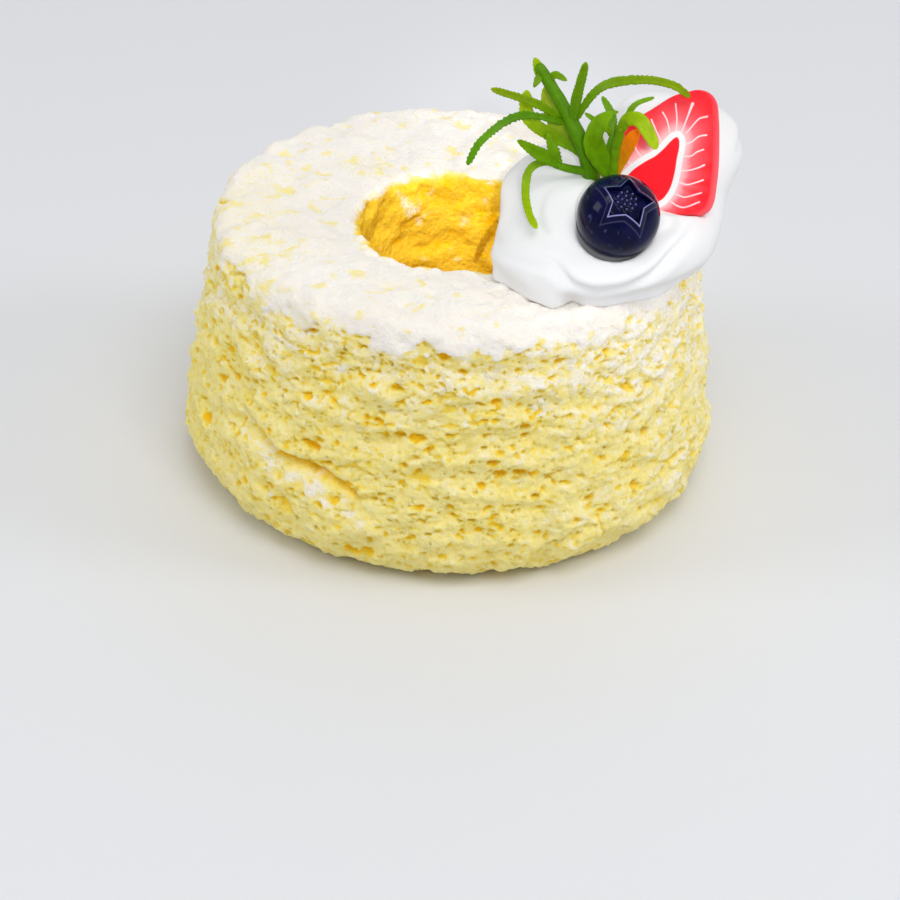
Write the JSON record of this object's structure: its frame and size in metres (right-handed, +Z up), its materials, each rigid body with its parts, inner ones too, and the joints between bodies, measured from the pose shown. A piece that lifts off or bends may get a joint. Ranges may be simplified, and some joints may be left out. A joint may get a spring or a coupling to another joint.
{
  "type": "toy angel food cake",
  "caption": "Toy angel food cake: a porous pale yellow ring with a powdered top, a dollop of cream over its rim, a blueberry, a strawberry slice and green sprigs.",
  "frame": {"origin": "centre of the cake's base, on the surface that it rests on", "axes": "+Z up, -Y towards the front, where the berry looks, and +X to the right, where the cream lies"},
  "size_m": [0.0852, 0.0842, 0.077],
  "materials": {
    "foam_clay": "porous matte, powdered white on top",
    "white_cream": "smooth satin",
    "navy_plastic": "moulded gloss",
    "red_clay": "smooth satin with white veins",
    "green_plastic": "moulded satin"
  },
  "bodies": {
    "root": {"cake": "foam_clay", "cream": "white_cream", "blueberry": "navy_plastic", "strawberry_slice": "red_clay", "sprig_left": "green_plastic", "sprig_right": "green_plastic"}
  },
  "joints": []
}
